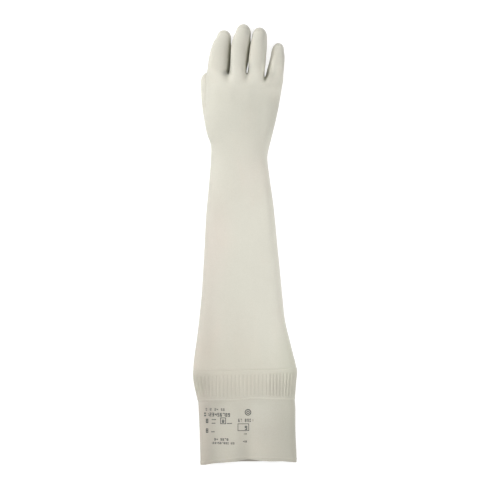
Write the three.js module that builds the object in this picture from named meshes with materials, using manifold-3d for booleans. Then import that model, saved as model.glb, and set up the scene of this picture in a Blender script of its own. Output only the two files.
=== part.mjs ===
// A long natural-latex chemical glove for the right hand, lying back up on a flat surface.
// Units are millimetres. +Z is up, +Y points along the fingers, -X is the thumb side.
// The glove is one dipped latex skin, hollow from the cuff's mouth to the fingertips. It is worked out as one closed
// wall from section tables, and then parted at its own zones: the cuff end, the ribbed band, the lower and upper
// sleeve, the wrist, the palm, the knuckles, the thumb, four fingers and their tips. Each zone is an open tube, or a tube closed at its tip.
import * as THREE from "three";
import { mergeVertices } from "three/addons/utils/BufferGeometryUtils.js";
import Module from "manifold-3d";

// ---------------------------------------------------------------- driving dimensions
const WALL = 1.3; // latex wall
const BAND_WALL = 1.9; // wall through the ribs of the band
const HEM_WALL = 1.5; // wall at the cut edge of the cuff
const GAP = 0.3; // between neighbouring zones
const HEM_DIP = 4.2; // the hem's left corner runs lower than its middle
const BAND_FROM = -210.5; // lower edge of the ribbed band
const BAND_TO = -169.5; // upper edge of the ribbed band
const ELBOW = -46; // where the sleeve's wider half starts
const WRIST = 117.5; // narrowest section
const HEEL = 147; // where the heel of the hand ends and the thumb's root starts
const KNUCKLES = 206; // where the knuckles' own zone starts
const ROOTS = 236; // plane just past the webs, where the fingers start
const PRESS = 1.22; // how far the underside is pressed flat by its own weight
const SEGMENTS = 4; // quads across the back of each finger
const FINGERS = 4;
const TOP = SEGMENTS * FINGERS; // quads across the back of the hand
const AROUND = 2 * TOP + 4; // points around the arm and palm

// Sections of the arm and palm from hem to knuckles: where they are, their left and right edges, the height of their
// back, underside and sides, the squareness of the back and underside, and how far the columns have moved from even
// spacing (0) to the fingers' own spacing (1).
const ARM = [
  { y: -295.4, left: -60.8, right: 69.9, top: 26, bottom: 0, side: 12, back: 4, under: 3.6, spread: 0, wall: HEM_WALL },
  { y: -284, left: -60.9, right: 69.7, top: 29.5, bottom: 0, side: 13, back: 4, under: 3.6, spread: 0, wall: WALL },
  { y: -264, left: -61.5, right: 68.7, top: 32.4, bottom: 0, side: 14.3, back: 4, under: 3.6, spread: 0, wall: WALL },
  { y: -240, left: -62.2, right: 68.1, top: 34, bottom: 0, side: 15, back: 4, under: 3.6, spread: 0, wall: WALL },
  { y: -210.5, left: -63.7, right: 67.2, top: 35.5, bottom: 0, side: 16, back: 4, under: 3.6, spread: 0, wall: BAND_WALL },
  { y: -198, left: -67.0, right: 68.2, top: 37, bottom: 0, side: 17, back: 4, under: 3.6, spread: 0, wall: BAND_WALL },
  { y: -175, left: -70.6, right: 70.3, top: 39.5, bottom: 0, side: 18, back: 4, under: 3.6, spread: 0, wall: BAND_WALL },
  { y: -169.5, left: -70.3, right: 69.6, top: 39.8, bottom: 0, side: 18, back: 4, under: 3.6, spread: 0, wall: BAND_WALL },
  { y: -158, left: -69.2, right: 66.9, top: 40, bottom: 0, side: 18, back: 4, under: 3.6, spread: 0, wall: WALL },
  { y: -140, left: -67.0, right: 62.6, top: 40.5, bottom: 0, side: 18.5, back: 4, under: 3.6, spread: 0, wall: WALL },
  { y: -100, left: -62.0, right: 53.7, top: 41.5, bottom: 0, side: 19, back: 4, under: 3.6, spread: 0, wall: WALL },
  { y: -44, left: -57.1, right: 47.6, top: 42.5, bottom: 0, side: 20, back: 4, under: 3.6, spread: 0, wall: WALL },
  { y: 20, left: -53.7, right: 41.6, top: 43, bottom: 0, side: 20.5, back: 4, under: 3.6, spread: 0, wall: WALL },
  { y: 76, left: -49.3, right: 35.3, top: 43, bottom: 0, side: 20.5, back: 3.5, under: 3.4, spread: 0, wall: WALL },
  { y: 109, left: -46.6, right: 30.4, top: 43.3, bottom: 0, side: 21, back: 2.9, under: 2.8, spread: 0.05, wall: WALL },
  { y: 117.5, left: -46.0, right: 29.9, top: 43.8, bottom: 0, side: 21.5, back: 2.9, under: 2.7, spread: 0.1, wall: WALL },
  { y: 127, left: -45.6, right: 31.2, top: 45, bottom: 1, side: 23, back: 2.6, under: 2.7, spread: 0.2, wall: WALL },
  { y: 137, left: -46.6, right: 33.6, top: 46.8, bottom: 4.6, side: 25, back: 2.6, under: 2.6, spread: 0.35, wall: WALL },
  { y: 149, left: -51.0, right: 36.6, top: 49.2, bottom: 9, side: 28.5, back: 2.6, under: 2.5, spread: 0.5, wall: WALL },
  { y: 165, left: -53.8, right: 40.5, top: 52.2, bottom: 15, side: 33, back: 2.6, under: 2.5, spread: 0.7, wall: WALL },
  { y: 181, left: -53.4, right: 44.2, top: 54.8, bottom: 20.5, side: 36.8, back: 2.6, under: 2.5, spread: 0.85, wall: WALL },
  { y: 195, left: -52.6, right: 47.0, top: 56.6, bottom: 24.5, side: 39.5, back: 2.6, under: 2.7, spread: 0.95, wall: WALL },
  { y: 208, left: -52.5, right: 49.2, top: 57.6, bottom: 27.2, side: 41.2, back: 2.6, under: 3, spread: 1, wall: WALL },
  { y: 218, left: -52.4, right: 50.8, top: 57.8, bottom: 28.8, side: 42, back: 2.6, under: 3.3, spread: 1, wall: WALL },
];
const THUMB_ROWS = { from: 18, to: 20 }; // the sections between which the thumb leaves the palm
const THUMB_COLUMN = AROUND - 5; // the first of the five columns that its root spans

// Where the webs stand between the index and middle, middle and ring, and ring and little finger.
const WEBS = [
  { x: -20.6, y: 231.0, z: 43, rise: 7.5 },
  { x: 2.4, y: 231.5, z: 43, rise: 7.5 },
  { x: 26.6, y: 225.6, z: 40, rise: 7.0 },
];

// Each finger from its root to its tip: the length of its rounded end, where its tip's zone starts, and the middle of
// each section with its half width and half height.
const DIGITS = {
  index_finger: {
    tip: 17,
    tipFrom: 263,
    rows: [
      { x: -36.6, y: 228, z: 43, wide: 15.6, high: 14.2 },
      { x: -35.6, y: 237, z: 41.3, wide: 14.8, high: 12.6 },
      { x: -34.6, y: 248, z: 37.6, wide: 14.3, high: 12.0 },
      { x: -33.3, y: 258.5, z: 32.3, wide: 13.6, high: 11.4 },
      { x: -31.8, y: 269, z: 25.2, wide: 12.5, high: 10.5 },
      { x: -30.4, y: 277.6, z: 17.6, wide: 11.0, high: 9.4 },
    ],
  },
  middle_finger: {
    tip: 19,
    tipFrom: 268,
    rows: [
      { x: -9.2, y: 229, z: 43.6, wide: 11.8, high: 13.8 },
      { x: -8.9, y: 239, z: 42, wide: 10.1, high: 11.8 },
      { x: -7.9, y: 251, z: 38, wide: 10.6, high: 11.3 },
      { x: -6.2, y: 264, z: 31.4, wide: 11.4, high: 11.0 },
      { x: -4.5, y: 275, z: 24, wide: 11.6, high: 10.5 },
      { x: -3.0, y: 284.4, z: 16, wide: 10.6, high: 9.4 },
    ],
  },
  ring_finger: {
    tip: 17.4,
    tipFrom: 265,
    rows: [
      { x: 15.2, y: 228, z: 42, wide: 12.0, high: 13.6 },
      { x: 15.9, y: 238, z: 40.4, wide: 10.7, high: 11.7 },
      { x: 16.6, y: 250, z: 36, wide: 11.1, high: 11.1 },
      { x: 17.9, y: 262, z: 29.5, wide: 11.0, high: 10.7 },
      { x: 18.8, y: 272.5, z: 22, wide: 10.6, high: 10.1 },
      { x: 19.1, y: 281, z: 14.8, wide: 9.6, high: 9.1 },
    ],
  },
  little_finger: {
    tip: 15.7,
    tipFrom: 250,
    rows: [
      { x: 39.6, y: 225, z: 38.6, wide: 12.6, high: 12.6 },
      { x: 40.9, y: 234.5, z: 35.8, wide: 11.1, high: 11.0 },
      { x: 42.3, y: 244, z: 31, wide: 10.2, high: 10.0 },
      { x: 43.5, y: 253.2, z: 24.4, wide: 9.3, high: 9.3 },
      { x: 44.3, y: 261.3, z: 17, wide: 8.4, high: 8.4 },
    ],
  },
  thumb: {
    tip: 13.4,
    rows: [
      { x: -42.3, y: 183, z: 15.5, wide: 15.0, high: 13.6 },
      { x: -45.9, y: 197, z: 13.6, wide: 13.2, high: 12.0 },
      { x: -47.7, y: 210, z: 12.4, wide: 12.0, high: 11.2 },
      { x: -48.6, y: 221, z: 11.4, wide: 11.3, high: 10.4 },
    ],
  },
};

// Soft rises (+) and hollows (-) on the back and underside of the hand, as round bumps.
const BUMPS = [
  { x: -36, y: 214, wide: 13, long: 16, back: 1.2, under: 0 }, // knuckles
  { x: -9, y: 217, wide: 11, long: 17, back: 1.8, under: 0 },
  { x: 15, y: 214, wide: 11, long: 16, back: 1.2, under: 0 },
  { x: 38, y: 207, wide: 11, long: 15, back: 0.8, under: 0 },
  { x: 16, y: 180, wide: 24, long: 22, back: -1.8, under: 0 }, // hollow behind the knuckles
  { x: -33, y: 158, wide: 22, long: 22, back: 0, under: -9.0 }, // ball of the thumb
  { x: 26, y: 152, wide: 20, long: 34, back: 0, under: -4.0 }, // heel below the little finger
  { x: 0, y: 185, wide: 24, long: 30, back: 0, under: 3.0 }, // cup of the palm
  { x: -20.6, y: 226, wide: 5.5, long: 16, back: -1.5, under: 0 }, // valleys behind the webs
  { x: 2.4, y: 226, wide: 5.5, long: 16, back: -1.5, under: 0 },
  { x: 26.6, y: 221, wide: 5.5, long: 15, back: -1.3, under: 0 },
];

// Lines seen from above that part neighbouring fingers: x at the roots and x at their far end.
const PARTINGS = [
  { root: -20.25, far: -16.2 },
  { root: 2.85, far: 10.85 },
  { root: 28.3, far: 36.5 },
];
const FAR_END = 305;
// The thumb's zone seen from the cuff: a line from its right edge to its left edge parts it from the palm above it.
const THUMB_ZONE = { from: 194, to: 245, low: -3, right: -24, rightHigh: 15.5, left: -90, leftHigh: 46 };

// ---------------------------------------------------------------- sections
const rad = (degrees) => (degrees * Math.PI) / 180;
const power = (v, p) => Math.sign(v) * Math.abs(v) ** p;
const bell = (u, v) => Math.exp(-(u * u + v * v));

// The angle of each column around a section, evenly spaced.
function evenAngle(k) {
  if (k <= TOP) return 170 - (160 * k) / TOP;
  if (k === TOP + 1) return 0;
  if (k <= 2 * TOP + 2) return -10 - (160 * (k - TOP - 2)) / TOP;
  return -180;
}

// The angle of each column where the columns follow the fingers.
function fingerAngle(k, s) {
  if (k === TOP + 1 || k === AROUND - 1) return evenAngle(k);
  const under = k > TOP;
  const j = under ? 2 * TOP + 2 - k : k;
  const edges = [-0.965, ...WEBS.map((w) => (w.x - (s.left + s.right) / 2) / ((s.right - s.left) / 2)), 0.965];
  const i = Math.min(FINGERS - 1, Math.floor(j / SEGMENTS));
  const f = edges[i] + ((edges[i + 1] - edges[i]) * (j - i * SEGMENTS)) / SEGMENTS;
  const angle = (Math.acos(power(f, (under ? s.under : s.back) / 2)) * 180) / Math.PI;
  return under ? -angle : angle;
}

function bumped(x, y, key) {
  return BUMPS.reduce((sum, b) => sum + b[key] * bell((x - b.x) / b.wide, (y - b.y) / b.long), 0);
}

function armPoint(row, k) {
  const s = ARM[row];
  const angle = rad(evenAngle(k) * (1 - s.spread) + fingerAngle(k, s) * s.spread);
  const c = Math.cos(angle);
  const v = Math.sin(angle);
  const n = v >= 0 ? s.back : s.under;
  const x = (s.left + s.right) / 2 + ((s.right - s.left) / 2) * power(c, 2 / n);
  let z;
  if (v >= 0) z = s.side + (s.top - s.side) * power(v, 2 / n) + bumped(x, s.y, "back") * v;
  else {
    z = s.side - (s.side - s.bottom) * (s.bottom > 0 ? 1 : PRESS) * power(-v, 2 / n) + bumped(x, s.y, "under") * -v;
    z = Math.max(z, 0);
  }
  const y = row === 0 ? s.y - HEM_DIP * THREE.MathUtils.smoothstep(-x, -8, 60) : s.y;
  return new THREE.Vector3(x, y, z);
}

const RING = [150, 120, 90, 60, 30, 0, -30, -60, -90, -120, -150, 180];

// The frame of each section of a digit: its middle, the way to its right and the way up.
function frames(rows) {
  return rows.map((r, i) => {
    const a = rows[Math.max(0, i - 1)];
    const b = rows[Math.min(rows.length - 1, i + 1)];
    const along = new THREE.Vector3(b.x - a.x, b.y - a.y, b.z - a.z).normalize();
    const right = new THREE.Vector3().crossVectors(along, new THREE.Vector3(0, 0, 1)).normalize();
    const up = new THREE.Vector3().crossVectors(right, along).normalize();
    return { middle: new THREE.Vector3(r.x, r.y, r.z), along, right, up, wide: r.wide, high: r.high };
  });
}

function ringPoint(f, degrees, share = 1, ahead = 0) {
  return f.middle
    .clone()
    .addScaledVector(f.right, f.wide * share * Math.cos(rad(degrees)))
    .addScaledVector(f.up, f.high * share * Math.sin(rad(degrees)))
    .addScaledVector(f.along, ahead);
}

// ---------------------------------------------------------------- the outer skin, as quads
const points = [];
const walls = [];
const quads = [];
const add = (p, wall = WALL) => {
  points.push(p);
  walls.push(wall);
  return points.length - 1;
};

const armRings = ARM.map((s, row) => Array.from({ length: AROUND }, (_, k) => add(armPoint(row, k), s.wall)));
const tube = (a, b, skip = () => false) =>
  a.forEach((_, m) => {
    const n = (m + 1) % a.length;
    if (!skip(m)) quads.push([a[m], a[n], b[n], b[m]]);
  });
for (let r = 0; r + 1 < ARM.length; r++) {
  const byThumb = r >= THUMB_ROWS.from && r < THUMB_ROWS.to;
  tube(armRings[r], armRings[r + 1], (k) => byThumb && k >= THUMB_COLUMN && k < THUMB_COLUMN + 4);
}

// Rings of one digit after its root, with its rounded end.
function digit(root, rows, tip) {
  const all = frames(rows);
  const last = all[all.length - 1];
  let ring = root;
  const next = (made) => {
    tube(ring, made);
    ring = made;
  };
  for (const f of all.slice(1)) next(RING.map((a) => add(ringPoint(f, a))));
  for (const tilt of [36, 62]) {
    const share = Math.cos(rad(tilt));
    next(RING.map((a) => add(ringPoint(last, a, share, tip * Math.sin(rad(tilt))))));
  }
  const cap = [-0.24, 0, 0.24].map((u) =>
    add(last.middle.clone().addScaledVector(last.right, last.wide * u).addScaledVector(last.along, tip * (u ? 0.965 : 1))),
  );
  const [t0, t1, t2, t3, t4, right, b4, b3, b2, b1, b0, left] = ring;
  const [c1, c2, c3] = cap;
  quads.push([t0, t1, c1, left], [t1, t2, c2, c1], [t2, t3, c3, c2], [t3, t4, right, c3]);
  quads.push([b4, b3, c3, right], [b3, b2, c2, c3], [b2, b1, c1, c2], [b1, b0, left, c1]);
}

// The row of the finger roots: neighbouring fingers share their side points at the webs.
const names = Object.keys(DIGITS);
const roots = names.slice(0, FINGERS).map((name) => frames(DIGITS[name].rows)[0]);
const rootRing = Array.from({ length: AROUND }, () => -1);
const webMiddles = WEBS.map((w) => add(new THREE.Vector3(w.x, w.y + 1.5, w.z - 1)));
for (let j = 0; j <= TOP; j++) {
  for (const under of [false, true]) {
    const k = under ? 2 * TOP + 2 - j : j;
    const web = j % SEGMENTS === 0 && j > 0 && j < TOP ? WEBS[j / SEGMENTS - 1] : null;
    const i = Math.min(FINGERS - 1, Math.floor(j / SEGMENTS));
    const degrees = 150 - 30 * (j - i * SEGMENTS);
    rootRing[k] = add(
      web
        ? new THREE.Vector3(web.x, web.y - 1.5, web.z + web.rise * (under ? -1 : 1))
        : ringPoint(roots[i], under ? -degrees : degrees),
    );
  }
}
rootRing[TOP + 1] = add(ringPoint(roots[FINGERS - 1], 0));
rootRing[AROUND - 1] = add(ringPoint(roots[0], 180));
tube(armRings[ARM.length - 1], rootRing);
names.slice(0, FINGERS).forEach((name, i) => {
  const from = i * SEGMENTS;
  const across = Array.from({ length: SEGMENTS + 1 }, (_, m) => from + m);
  const root = [
    ...across.map((j) => rootRing[j]),
    i === FINGERS - 1 ? rootRing[TOP + 1] : webMiddles[i],
    ...across.map((j) => rootRing[2 * TOP + 2 - j]).reverse(),
    i === 0 ? rootRing[AROUND - 1] : webMiddles[i - 1],
  ];
  digit(root, DIGITS[name].rows, DIGITS[name].tip);
});

// The thumb grows out of the hole left for it low on the palm's thumb side.
{
  const [a, m, b] = [0, 1, 2].map((n) => armRings[THUMB_ROWS.from + n]);
  const c = THUMB_COLUMN;
  const hole = [a[c], a[c + 1], a[c + 2], a[c + 3], a[c + 4], m[c + 4], b[c + 4], b[c + 3], b[c + 2], b[c + 1], b[c], m[c]];
  const root = [...hole.slice(5), ...hole.slice(0, 5)];
  const rows = DIGITS.thumb.rows;
  const before = { ...rows[0], y: rows[0].y - 14, x: rows[0].x + 3, z: rows[0].z + 3 };
  digit(root, [before, ...rows], DIGITS.thumb.tip);
}

// ---------------------------------------------------------------- the hollow wall
const normals = points.map(() => new THREE.Vector3());
for (const q of quads) {
  const [a, b, c, d] = q.map((i) => points[i]);
  const n = new THREE.Vector3().crossVectors(c.clone().sub(a), d.clone().sub(b));
  q.forEach((i) => normals[i].add(n));
}
let signed = 0;
for (const q of quads) {
  const [a, b, c, d] = q.map((i) => points[i]);
  signed += a.dot(new THREE.Vector3().crossVectors(b, c)) + a.dot(new THREE.Vector3().crossVectors(c, d));
}
const outward = signed > 0 ? 1 : -1;
const hem = new Set(armRings[0]);
const inner = points.map((p, i) => {
  const n = normals[i].clone().normalize().multiplyScalar(outward);
  const moved = p.clone().addScaledVector(n, -walls[i]);
  if (hem.has(i)) moved.y = p.y;
  return moved;
});

function closedWall() {
  const all = [...points, ...inner];
  const inside = points.length;
  const triangles = [];
  const put = (a, b, c, d, flip) => {
    if (flip) triangles.push(a, c, b, a, d, c);
    else triangles.push(a, b, c, a, c, d);
  };
  for (const [a, b, c, d] of quads) {
    put(a, b, c, d, outward < 0);
    put(a + inside, b + inside, c + inside, d + inside, outward > 0);
  }
  armRings[0].forEach((a, m) => {
    const b = armRings[0][(m + 1) % AROUND];
    put(a, a + inside, b + inside, b, outward < 0);
  });
  const geometry = new THREE.BufferGeometry();
  geometry.setAttribute("position", new THREE.BufferAttribute(new Float32Array(all.flatMap((p) => [p.x, p.y, p.z])), 3));
  geometry.setIndex(triangles);
  return geometry;
}

// ---------------------------------------------------------------- parting it at its zones
const wasm = await Module();
wasm.setup();

function solidFrom(geometry) {
  const bare = new THREE.BufferGeometry().setAttribute("position", geometry.getAttribute("position"));
  if (geometry.index) bare.setIndex(geometry.index);
  const merged = mergeVertices(bare, 1e-4);
  return new wasm.Manifold(
    new wasm.Mesh({
      numProp: 3,
      vertProperties: merged.attributes.position.array,
      triVerts: new Uint32Array(merged.index.array),
    }),
  );
}

// A block that stands on an outline seen from above.
function blockOn(outline) {
  const shape = new THREE.Shape(outline.map(([x, y]) => new THREE.Vector2(x, y)));
  const geometry = new THREE.ExtrudeGeometry(shape, { depth: 200, bevelEnabled: false });
  geometry.translate(0, 0, -60);
  return solidFrom(geometry);
}
const across = (from, to) => blockOn([[-200, from], [200, from], [200, to], [-200, to]]);

const glove = solidFrom(closedWall());
const half = GAP / 2;

// The thumb's zone, drawn as seen from the cuff (x, z) and run along y.
function thumbZone(grow) {
  const t = THUMB_ZONE;
  const outline = [
    [t.left, t.low],
    [t.right + grow, t.low],
    [t.right + grow, t.rightHigh + grow],
    [t.left, t.leftHigh + grow],
  ];
  const shape = new THREE.Shape(outline.map(([x, z]) => new THREE.Vector2(x, z)));
  const geometry = new THREE.ExtrudeGeometry(shape, { depth: t.to - t.from + grow, bevelEnabled: false });
  geometry.rotateX(Math.PI / 2).translate(0, t.to, 0);
  return solidFrom(geometry);
}

const zones = {
  cuff_end: glove.intersect(across(-400, BAND_FROM - half)),
  ribbed_band: glove.intersect(across(BAND_FROM + half, BAND_TO - half)),
  lower_sleeve: glove.intersect(across(BAND_TO + half, ELBOW - half)),
  upper_sleeve: glove.intersect(across(ELBOW + half, WRIST - half)),
  wrist: glove.intersect(across(WRIST + half, HEEL - half)),
  palm: glove.intersect(across(HEEL + half, KNUCKLES - half)).subtract(thumbZone(GAP)),
  knuckles: glove.intersect(across(KNUCKLES + half, ROOTS - half)).subtract(thumbZone(GAP)),
  thumb: glove.intersect(thumbZone(0)),
};
const partingAt = (parting, y) => parting.root + ((parting.far - parting.root) * (y - ROOTS)) / (FAR_END - ROOTS);
names.slice(0, FINGERS).forEach((name, i) => {
  const low = PARTINGS[i - 1] || { root: -200, far: -200 };
  const high = PARTINGS[i] || { root: 200, far: 200 };
  const between = (from, to) =>
    blockOn([
      [partingAt(low, from) + half, from],
      [partingAt(high, from) - half, from],
      [partingAt(high, to) - half, to],
      [partingAt(low, to) + half, to],
    ]);
  const joint = DIGITS[name].tipFrom;
  zones[name] = glove.intersect(between(ROOTS + half, joint - half)).subtract(thumbZone(GAP));
  zones[name.replace("finger", "fingertip")] = glove.intersect(between(joint + half, FAR_END));
});

// ---------------------------------------------------------------- the object
const LATEX = { color: 0xdedccf, roughness: 0.62, metalness: 0 };
const RIBBED = { color: 0xd6d3c4, roughness: 0.72, metalness: 0 };
const group = new THREE.Group();
group.name = "latex_glove";
for (const [name, solid] of Object.entries(zones)) {
  const mesh = solid.getMesh();
  const position = new Float32Array(mesh.numVert * 3);
  for (let i = 0; i < mesh.numVert; i++)
    position.set(mesh.vertProperties.subarray(i * mesh.numProp, i * mesh.numProp + 3), i * 3);
  const geometry = new THREE.BufferGeometry();
  geometry.setAttribute("position", new THREE.BufferAttribute(position, 3));
  geometry.setIndex(new THREE.BufferAttribute(mesh.triVerts, 1));
  geometry.computeVertexNormals();
  const piece = new THREE.Mesh(geometry, new THREE.MeshStandardMaterial(name === "ribbed_band" ? RIBBED : LATEX));
  piece.name = name;
  group.add(piece);
}

export default group;
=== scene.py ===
# A long natural-latex chemical glove for the right hand, lying back up on a pale floor and seen from straight above.
# The whole glove is one dipped skin: an outer face, an inner face and a cut edge at the cuff's mouth.
# Tables are in millimetres and in the frame's axes: +Z up, +Y along the fingers, -X the thumb side.
import math

import bpy
import numpy as np
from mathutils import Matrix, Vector
from mathutils.bvhtree import BVHTree


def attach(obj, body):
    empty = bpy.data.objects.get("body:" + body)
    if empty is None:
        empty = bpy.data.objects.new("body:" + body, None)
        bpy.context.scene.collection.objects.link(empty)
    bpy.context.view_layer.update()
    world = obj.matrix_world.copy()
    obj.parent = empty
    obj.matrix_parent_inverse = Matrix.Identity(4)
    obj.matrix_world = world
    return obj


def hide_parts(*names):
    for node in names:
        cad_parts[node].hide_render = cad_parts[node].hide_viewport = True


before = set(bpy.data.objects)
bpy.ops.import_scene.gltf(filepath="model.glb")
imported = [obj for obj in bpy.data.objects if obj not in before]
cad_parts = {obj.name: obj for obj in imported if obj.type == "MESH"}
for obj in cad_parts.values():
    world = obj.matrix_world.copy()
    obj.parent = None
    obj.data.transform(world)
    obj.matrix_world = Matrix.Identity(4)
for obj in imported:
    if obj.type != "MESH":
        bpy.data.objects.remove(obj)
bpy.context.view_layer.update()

MM = 0.001

# ------------------------------------------------------------------ named sizes, mm
WALL = 1.3  # latex wall
BAND_WALL = 1.9  # wall through the ribs of the band
SEGMENTS = 4  # quads across the back of each finger
FINGERS = 4
TOP = SEGMENTS * FINGERS  # quads across the back of the hand
AROUND = 2 * TOP + 4  # points around the arm and palm
SQUARE = 2.2  # squareness of the fingers' sections
PRESS = 1.22  # how far the underside is pressed flat by its own weight

HEM_AT = -295.4  # the arm's own length coordinate at the hem
BEAD_AT = -209.3  # at the raised line below the ribs
LINE_AT = -169.5  # at the fine line above the band
FREE_AT = -138.0  # from here on lines run straight across
RIBS_FROM = -206.6
RIBS_TO = -175.6
RIB_COLUMNS = 8  # points across one rib

# Sections of the arm and palm: where they are, left and right edge, height of the back, underside and sides, the
# squareness of the back and underside, and how far the columns follow the fingers' spacing.
ARM_COLUMNS = ("y", "left", "right", "top", "bottom", "side", "back", "under", "spread")
ARM = np.array([
    (-295.4, -60.8, 70.2, 26.0, 0, 12.0, 4, 3.6, 0),
    (-284, -60.9, 70.1, 29.5, 0, 13, 4, 3.6, 0),
    (-264, -61.5, 69.1, 32.4, 0, 14.3, 4, 3.6, 0),
    (-240, -62.3, 68.6, 34, 0, 15, 4, 3.6, 0),
    (-221, -63.2, 68.4, 34.8, 0, 15.5, 4, 3.6, 0),
    (-210.5, -64.1, 67.5, 35.5, 0, 16, 4, 3.6, 0),
    (-198, -67.0, 68.2, 37, 0, 17, 4, 3.6, 0),
    (-185, -69.6, 69.4, 38.5, 0, 17.5, 4, 3.6, 0),
    (-175, -70.6, 70.3, 39.5, 0, 18, 4, 3.6, 0),
    (-169.5, -70.3, 69.6, 39.8, 0, 18, 4, 3.6, 0),
    (-158, -69.6, 67.1, 40, 0, 18, 4, 3.6, 0),
    (-140, -67.2, 62.8, 40.5, 0, 18.5, 4, 3.6, 0),
    (-120, -64.6, 58.1, 41, 0, 19, 4, 3.6, 0),
    (-100, -62.2, 53.9, 41.5, 0, 19, 4, 3.6, 0),
    (-74, -59.4, 50.9, 42, 0, 19.5, 4, 3.6, 0),
    (-44, -57.3, 47.9, 42.5, 0, 20, 4, 3.6, 0),
    (-12, -55.5, 44.9, 43, 0, 20, 4, 3.6, 0),
    (20, -53.9, 41.8, 43, 0, 20.5, 4, 3.6, 0),
    (50, -51.8, 38.8, 43, 0, 20.5, 3.8, 3.4, 0),
    (76, -49.5, 35.5, 43, 0, 20.5, 3.5, 3.4, 0),
    (96, -47.8, 32.5, 43, 0, 21, 3.2, 3.4, 0),
    (109, -47.0, 30.6, 43.3, 0, 21, 2.9, 2.8, 0.05),
    (117.5, -46.5, 30.1, 43.8, 0, 21.5, 2.9, 2.7, 0.1),
    (127, -46.0, 31.4, 45, 1.0, 23, 2.6, 2.7, 0.2),
    (137, -47.0, 33.8, 46.8, 4.6, 25, 2.6, 2.6, 0.35),
    (149, -51.4, 36.8, 49.2, 9.0, 28.5, 2.6, 2.5, 0.5),
    (165, -54.3, 40.7, 52.2, 15, 33, 2.6, 2.5, 0.7),
    (181, -53.9, 44.4, 54.8, 20.5, 36.8, 2.6, 2.5, 0.85),
    (195, -52.6, 47.0, 56.6, 24.5, 39.5, 2.6, 2.7, 0.95),
    (208, -52.5, 49.2, 57.6, 27.2, 41.2, 2.6, 3.0, 1),
    (218, -52.4, 50.8, 57.8, 28.8, 42, 2.6, 3.3, 1),
], float)
EXTRA_ROWS = (122.2, 132, 143, 188, 201.5, 213)  # further sections of the hand, interpolated
THUMB_FROM, THUMB_MIDDLE, THUMB_TO = 149, 165, 181  # the sections that the thumb leaves the palm between
THUMB_COLUMN = AROUND - 5

WEBS = [  # x, y, z, rise
    (-22.2, 230.4, 43, 7.5),
    (2.4, 230.2, 43, 7.5),
    (26.6, 225.2, 40, 7.0),
]

# Each finger's rounded end, and its sections: middle x, y, z, half width, half height, and how far its back leans
# towards the thumb.
DIGITS = {
    "index_finger": (17, [
        (-37.4, 228, 43.2, 14.8, 13.7, 0),
        (-35.8, 237, 41.3, 13.8, 12.6, 5.0),
        (-34.3, 248, 37.6, 13.4, 12.0, 6.0),
        (-32.5, 258.5, 32.3, 13.1, 11.4, 5.8),
        (-30.9, 269, 25.2, 12.2, 10.5, 3.4),
        (-29.2, 277.6, 17.6, 10.2, 9.4, 1.2),
    ]),
    "middle_finger": (19, [
        (-9.8, 229, 43.6, 12.4, 13.8, 0),
        (-9.0, 239, 42, 10.8, 11.8, 3.2),
        (-7.6, 251, 38, 11.0, 11.3, 4.6),
        (-6.4, 264, 31.4, 11.7, 11.0, 4.8),
        (-4.6, 275, 24, 12.1, 10.5, 3.2),
        (-2.9, 284.4, 16, 10.5, 9.4, 1.6),
    ]),
    "ring_finger": (17.7, [
        (15.2, 228, 42, 12.0, 13.6, 0),
        (15.4, 238, 40.4, 10.9, 11.7, 2.4),
        (16.4, 250, 36, 11.2, 11.1, 3.0),
        (17.5, 262, 29.5, 11.0, 10.7, 3.0),
        (18.7, 272.5, 22, 10.7, 10.1, 2.6),
        (19.6, 281, 14.8, 10.1, 9.1, 1.6),
    ]),
    "little_finger": (15.7, [
        (39.5, 225, 39.3, 12.3, 12.0, 0),
        (40.9, 234.5, 35.8, 10.4, 11.0, -4.0),
        (42.5, 244, 31, 9.7, 10.0, -3.6),
        (43.7, 253.2, 24.4, 9.0, 9.3, -2.8),
        (44.3, 261.3, 17, 8.25, 8.4, -1.6),
    ]),
    "thumb": (13.4, [
        (-42.6, 183, 16.0, 15.0, 13.4, 0),
        (-46.2, 197, 13.9, 13.2, 12.0, 0),
        (-48.0, 210, 12.4, 12.0, 11.2, 0),
        (-48.9, 221, 11.4, 11.3, 10.4, 0),
    ]),
}

# Soft rises (+) and hollows (-) of the hand: x, y, half width, half length, on the back, on the underside.
BUMPS = [
    (-36, 214, 13, 16, 1.2, 0),
    (-9, 217, 11, 17, 1.3, 0),
    (15, 214, 11, 16, 0.8, 0),
    (38, 207, 11, 15, 0.8, 0),
    (16, 180, 24, 22, -1.8, 0),
    (-33, 158, 22, 24, 0, -7.5),
    (26, 152, 20, 34, 0, -4.0),
    (0, 185, 24, 30, 0, 3.0),
    (-20.6, 226, 5.5, 16, -1.0, 1.2),
    (2.4, 226, 5.5, 16, -0.9, 1.2),
    (26.6, 221, 5.5, 15, -0.8, 1.2),
    (44, 216, 10, 14, 0, -3.2),
    (-45, 218, 9, 14, 0, -1.8),
]

# The lines that run across the cuff: x and y along each.
HEM_BACK = [(-61, -299.2), (-54.6, -298.9), (-43.3, -297.5), (-27.3, -295.8), (-18.2, -294.1), (-6.9, -292.3), (1.2, -292.1), (16, -292.7), (30, -293.2), (50, -293.5), (58, -294.5), (66, -295.6), (70, -295.8)]
HEM_UNDER = [(-61, -299.5), (-54.6, -299.4), (-43.3, -298.2), (-18.6, -296.3), (-7.3, -295.3), (12.9, -295.3), (35.4, -294.6), (56.9, -294.9), (65.8, -295.9), (69.8, -295.4)]
BEAD_LINE = [(-64, -211.0), (-40, -210.6), (-18, -210.0), (-4, -209.4), (4, -208.0), (10, -207.5), (24, -207.7), (38, -208.4), (50, -209.2), (68, -209.2)]
TOP_LINE = [(-71, -171.2), (-50, -170.8), (-20, -169.7), (10, -169.0), (40, -168.4), (57, -167.6), (70, -167.2)]

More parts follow.
